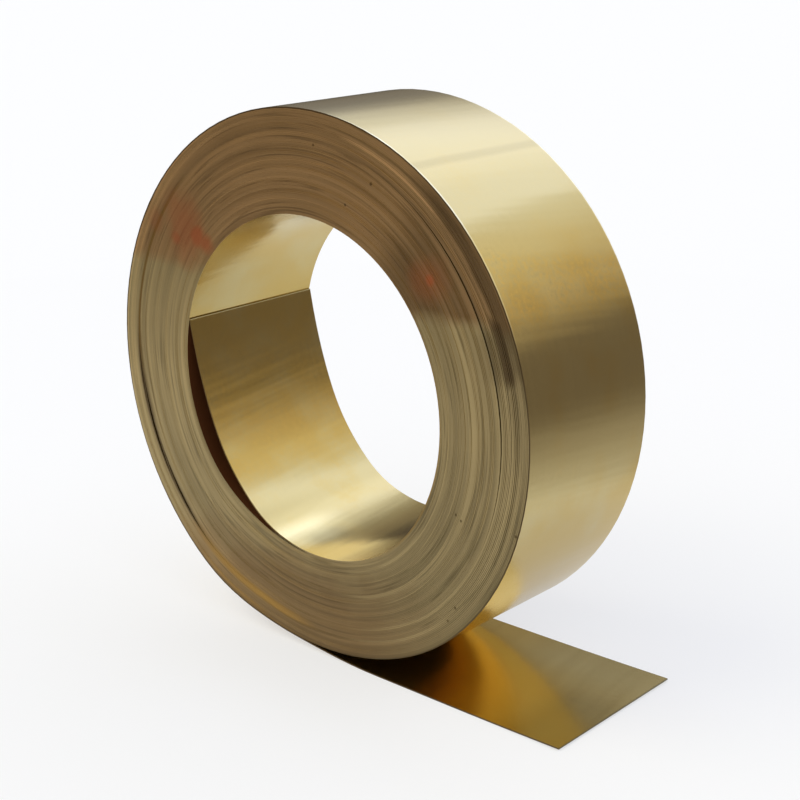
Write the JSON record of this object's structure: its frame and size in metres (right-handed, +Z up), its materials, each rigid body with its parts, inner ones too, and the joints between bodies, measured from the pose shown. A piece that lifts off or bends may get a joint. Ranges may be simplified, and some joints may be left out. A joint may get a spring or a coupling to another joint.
{
  "type": "roll of brass strip",
  "caption": "Roll of flat brass strip standing on its rim, with an open bore, its outer end lying flat on the floor and its inner end sprung off the bore wall.",
  "frame": {"origin": "on the roll's axis, halfway along the strip's width", "axes": "+X towards the strip's outer end, +Y along the roll's axis, +Z up"},
  "size_m": [0.1679, 0.0504, 0.1588],
  "materials": {
    "brass": "cold-rolled satin faces, slit edges showing the turns on both ends"
  },
  "bodies": {
    "root": {"brass_strip_roll": "brass"}
  },
  "joints": []
}
